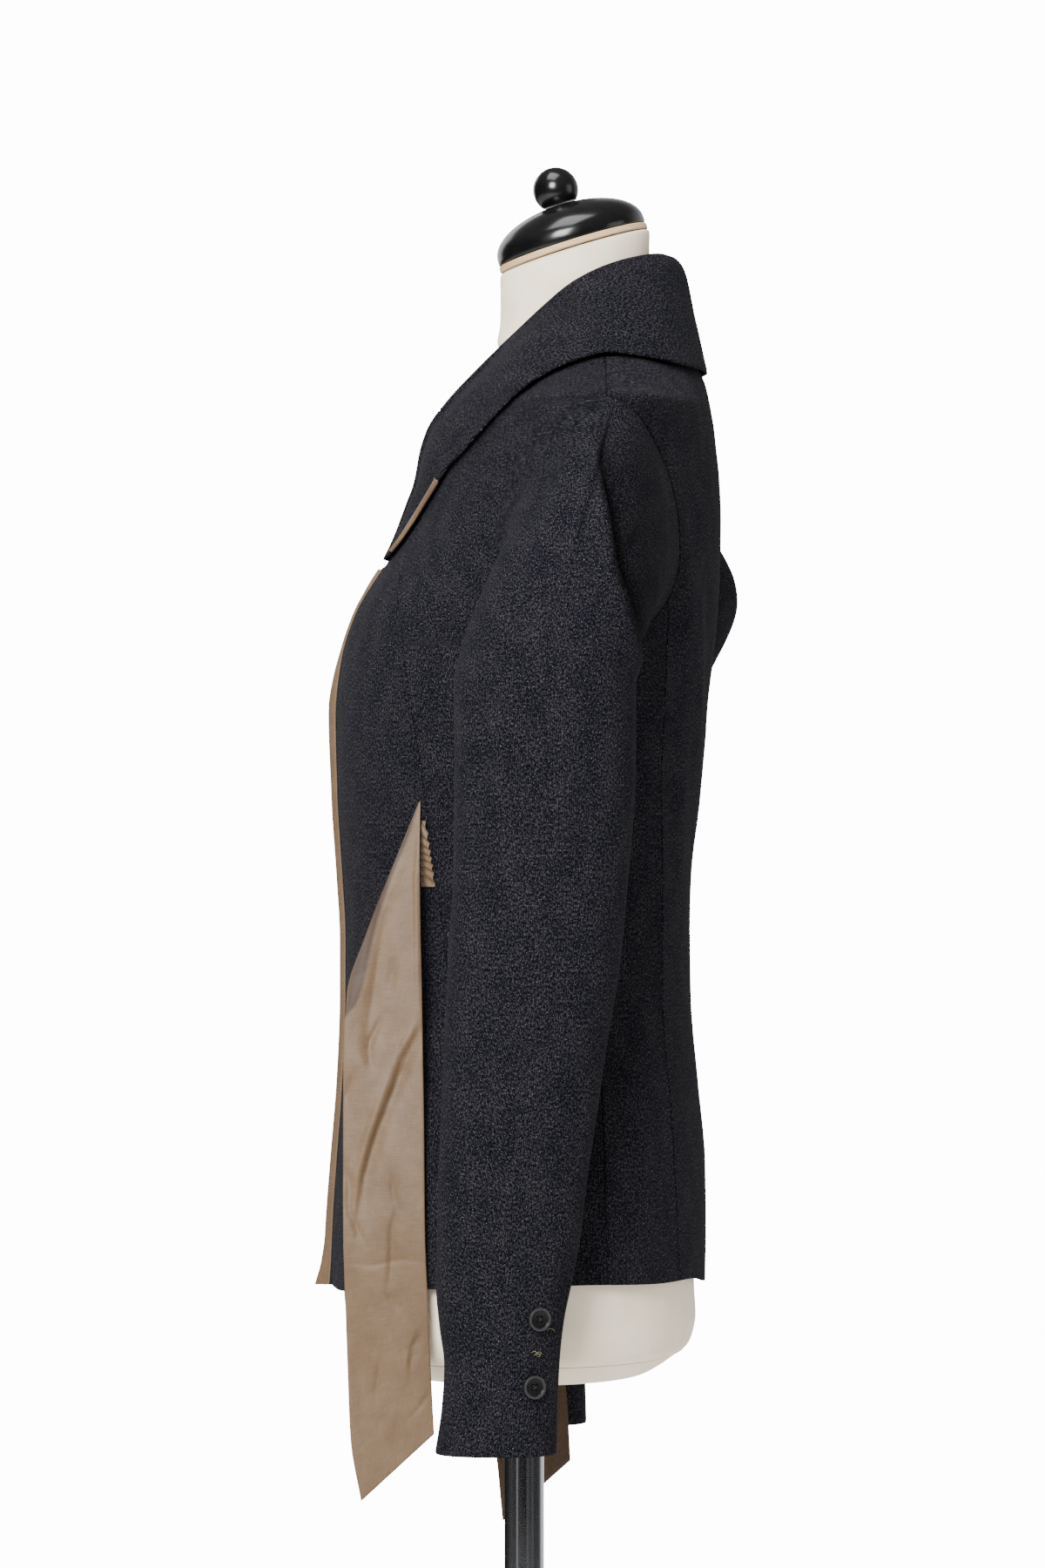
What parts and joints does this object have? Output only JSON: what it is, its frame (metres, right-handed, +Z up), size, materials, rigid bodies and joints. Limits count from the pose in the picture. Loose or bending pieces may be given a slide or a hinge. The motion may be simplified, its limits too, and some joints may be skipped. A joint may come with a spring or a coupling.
{
  "type": "blazer on a limbless dress form",
  "caption": "Fitted wool-knit blazer with satin-edged lapels and front, vented cuffs and hanging satin sash ends, worn by a limbless dress form that stands on a chrome pole and round base.",
  "frame": {"origin": "on the floor, in the middle of the base's underside, under the pole", "axes": "+Z up along the pole, -Y towards the wearer's front, +X towards the wearer's left"},
  "size_m": [0.502, 0.37, 1.5272],
  "materials": {
    "wool_knit": "charcoal heather wool knit with fine upright wales, matt",
    "satin": "bronze taupe satin with a soft sheen",
    "button_horn": "black, semi-gloss, rim raised",
    "form_cover": "cream cotton jersey, stretched smooth, matt",
    "rim_wood": "light bare wood",
    "black_lacquer": "black lacquer, semi-gloss",
    "chrome": "polished chrome plate"
  },
  "bodies": {
    "root": {"centre_front_left": "wool_knit", "centre_front_right": "wool_knit", "side_front_left": "wool_knit", "side_front_right": "wool_knit", "side_back_left": "wool_knit", "side_back_right": "wool_knit", "back_left": "wool_knit", "back_right": "wool_knit", "sleeve_left": "wool_knit", "sleeve_right": "wool_knit", "vent_underlap_left": "wool_knit", "vent_underlap_right": "wool_knit", "collar": "wool_knit", "lapel_left": "wool_knit", "lapel_right": "wool_knit", "lapel_binding_left": "satin", "lapel_binding_right": "satin", "front_binding_left": "satin", "front_binding_right": "satin", "sash_left": "satin", "sash_right": "satin", "slot_tab_left": "satin", "slot_tab_right": "satin", "button_upper_left": "button_horn", "button_upper_right": "button_horn", "button_lower_left": "button_horn", "button_lower_right": "button_horn", "form_torso": "form_cover", "form_bottom_board": "form_cover", "neck_rim_board": "rim_wood", "neck_cap": "black_lacquer", "neck_knob": "black_lacquer", "stand_pole": "chrome", "stand_base": "chrome"}
  },
  "joints": []
}
